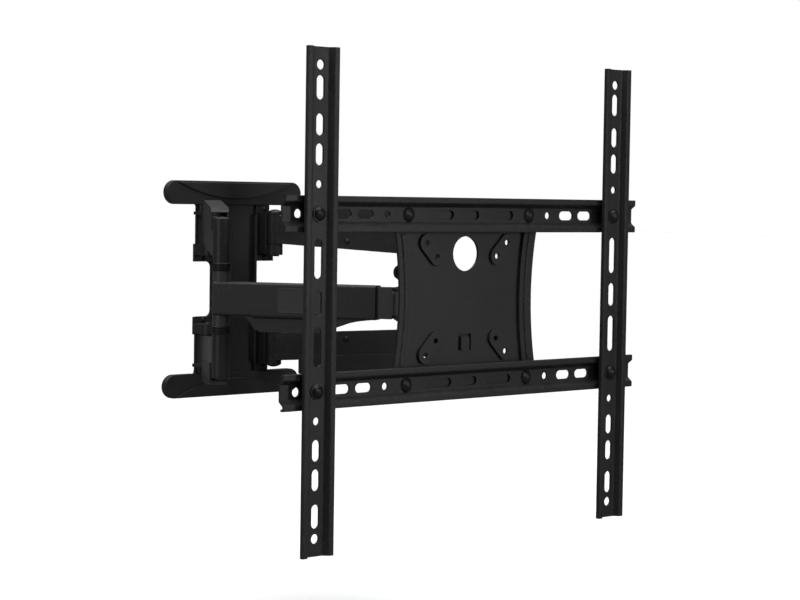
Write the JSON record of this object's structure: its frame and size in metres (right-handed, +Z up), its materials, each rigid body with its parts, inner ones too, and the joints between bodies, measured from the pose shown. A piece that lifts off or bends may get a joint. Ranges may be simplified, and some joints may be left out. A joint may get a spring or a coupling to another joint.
{
  "type": "tv wall mount",
  "caption": "Full motion television wall mount: folding arm pairs with elbows, a swivelling and tilting head, and a frame of slotted rails.",
  "frame": {"origin": "middle of the wall plate's back face, on the wall", "axes": "+X to the right seen from the room, +Y into the wall, +Z up"},
  "size_m": [0.434, 0.367, 0.43],
  "materials": {
    "powder_coat": "satin black powder coat with a fine texture",
    "black_plastic": "fine-grained moulded black plastic",
    "bush_nylon": "smooth black nylon",
    "dark_fastener": "black zinc, slightly glossy",
    "blank_plate": "matt dark grey film, blank"
  },
  "bodies": {
    "wall": {"wall_plate": "powder_coat", "top_cover": "black_plastic", "bottom_cover": "black_plastic", "bracket_upper_left": "powder_coat", "bracket_lower_left": "powder_coat", "bracket_upper_right": "powder_coat", "bracket_lower_right": "powder_coat", "wall_pins": "dark_fastener", "wall_washers": "bush_nylon", "bracket_rivets": "dark_fastener"},
    "rear_left": {"rear_arm_upper_left": "powder_coat", "rear_arm_lower_left": "powder_coat", "elbow_pin_left": "dark_fastener", "elbow_bushes_left": "bush_nylon", "elbow_caps_left": "black_plastic", "arm_plugs_left": "dark_fastener", "cable_cover_upper_left": "black_plastic", "cable_cover_lower_left": "black_plastic"},
    "rear_right": {"rear_arm_upper_right": "powder_coat", "rear_arm_lower_right": "powder_coat", "elbow_pin_right": "dark_fastener", "elbow_bushes_right": "bush_nylon", "elbow_caps_right": "black_plastic", "arm_plugs_right": "dark_fastener", "cable_cover_upper_right": "black_plastic", "cable_cover_lower_right": "black_plastic"},
    "front_left": {"front_arm_left": "powder_coat", "arm_sleeve_left": "black_plastic", "cable_clip_left": "black_plastic", "face_plate_left": "blank_plate"},
    "front_right": {"front_arm_right": "powder_coat", "arm_sleeve_right": "black_plastic", "cable_clip_right": "black_plastic", "face_plate_right": "blank_plate"},
    "yoke": {"yoke": "powder_coat", "yoke_pins": "dark_fastener", "swivel_pin": "dark_fastener", "yoke_washers": "bush_nylon"},
    "head": {"tilt_bracket": "powder_coat", "tilt_bolts": "dark_fastener", "tilt_nuts": "dark_fastener", "friction_washers": "bush_nylon", "swivel_bushes": "bush_nylon"},
    "tv_bracket": {"centre_plate": "powder_coat", "upper_rail": "powder_coat", "lower_rail": "powder_coat", "rail_rivets": "dark_fastener", "left_rail": "powder_coat", "right_rail": "powder_coat", "rail_screws": "dark_fastener", "rail_washers": "dark_fastener", "rail_nuts": "dark_fastener"}
  },
  "joints": [
    {"name": "fold", "type": "hinge", "parent": "wall", "child": "rear_left", "pos_m": [-0.042, -0.0195, 0], "axis": [0, 0, -1], "range_deg": [-25, 38]},
    {"name": "elbow_left", "type": "hinge", "parent": "rear_left", "child": "front_left", "pos_m": [-0.13598, -0.16499, 0], "axis": [0, 0, 1], "range_deg": [-50, 76]},
    {"name": "yoke_turn", "type": "hinge", "parent": "front_left", "child": "yoke", "pos_m": [-0.042, -0.31048, 0], "axis": [0, 0, -1], "range_deg": [-25, 38]},
    {"name": "rear_right_turn", "type": "hinge", "parent": "wall", "child": "rear_right", "pos_m": [0.042, -0.0195, 0], "axis": [0, 0, 1], "range_deg": [-25, 38]},
    {"name": "elbow_right", "type": "hinge", "parent": "rear_right", "child": "front_right", "pos_m": [0.13598, -0.16499, 0], "axis": [0, 0, -1], "range_deg": [-50, 76]},
    {"name": "swivel", "type": "hinge", "parent": "yoke", "child": "head", "pos_m": [0, -0.31848, 0], "axis": [0, 0, 1], "range_deg": [-15, 15]},
    {"name": "tilt", "type": "hinge", "parent": "head", "child": "tv_bracket", "pos_m": [0, -0.33598, 0.0295], "axis": [1, 0, 0], "range_deg": [-5, 8]}
  ],
  "couplings": [
    {"joint": "elbow_left", "follows": "fold", "ratio": 2},
    {"joint": "yoke_turn", "follows": "fold", "ratio": 1},
    {"joint": "rear_right_turn", "follows": "fold", "ratio": 1},
    {"joint": "elbow_right", "follows": "fold", "ratio": 2}
  ]
}
